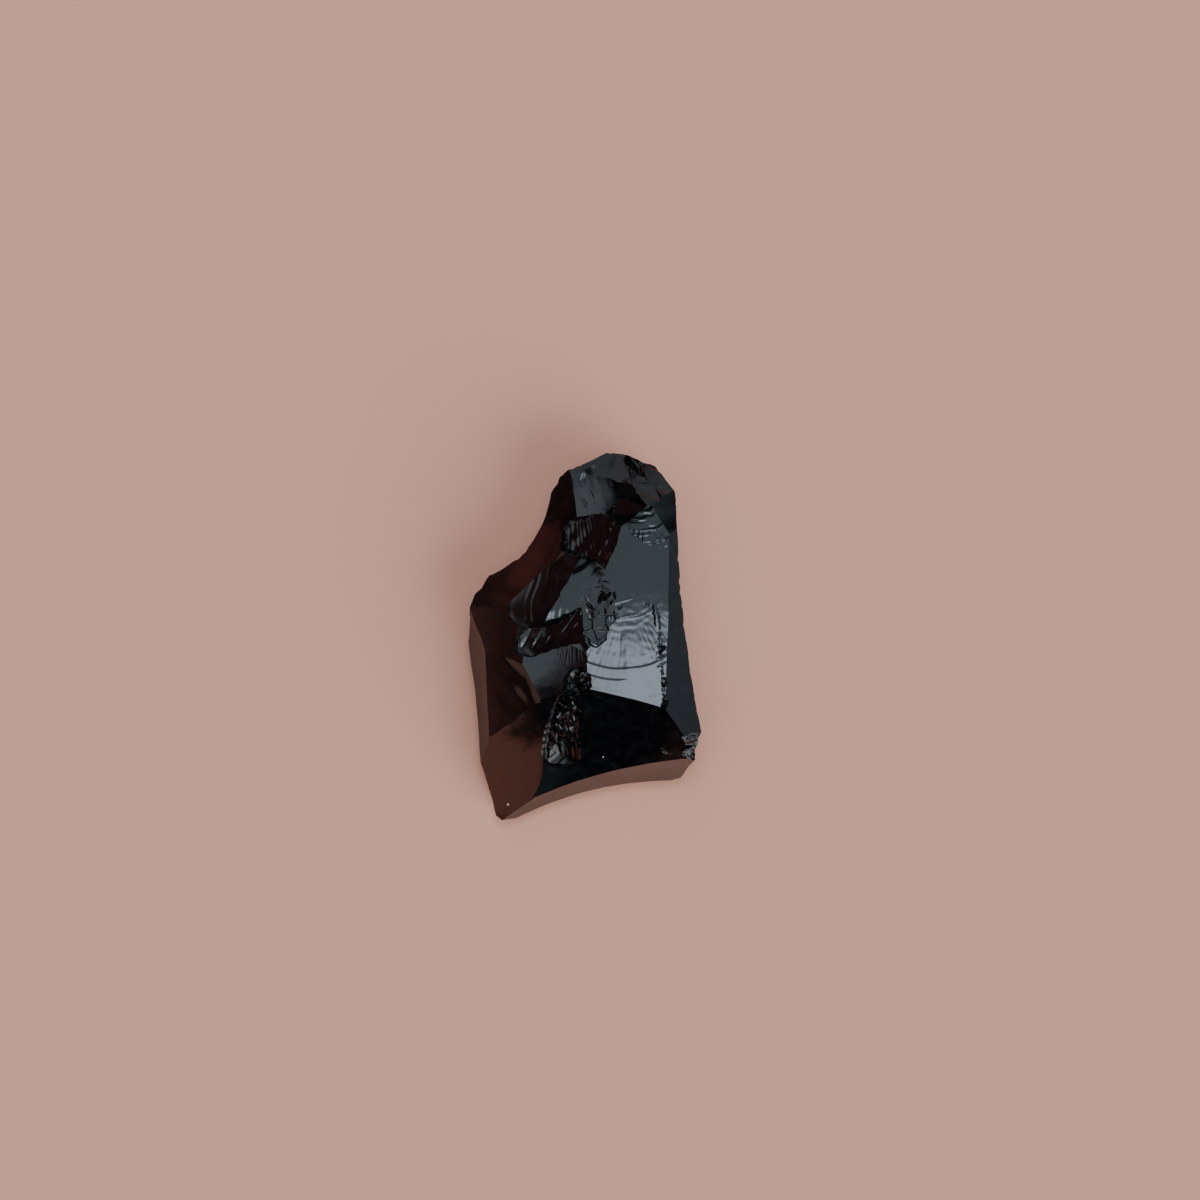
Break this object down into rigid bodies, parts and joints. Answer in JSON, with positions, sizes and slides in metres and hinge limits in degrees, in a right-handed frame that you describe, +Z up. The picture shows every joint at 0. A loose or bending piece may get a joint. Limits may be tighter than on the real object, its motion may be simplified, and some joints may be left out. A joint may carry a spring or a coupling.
{
  "type": "obsidian chunk",
  "caption": "Broken chunk of glossy black volcanic glass with smooth curved fracture faces, sharp ridges, ripples and small pits, lying on a flat underside.",
  "frame": {"origin": "centre of the bounding box in X and Y, on the flat underside that the chunk lies on", "axes": "+Y along the chunk's length towards its narrow head, +X towards its thick right side, +Z up out of the flaked upper side"},
  "size_m": [0.0382, 0.0606, 0.0184],
  "materials": {
    "obsidian": "polished"
  },
  "bodies": {
    "root": {"obsidian_chunk": "obsidian"}
  },
  "joints": []
}
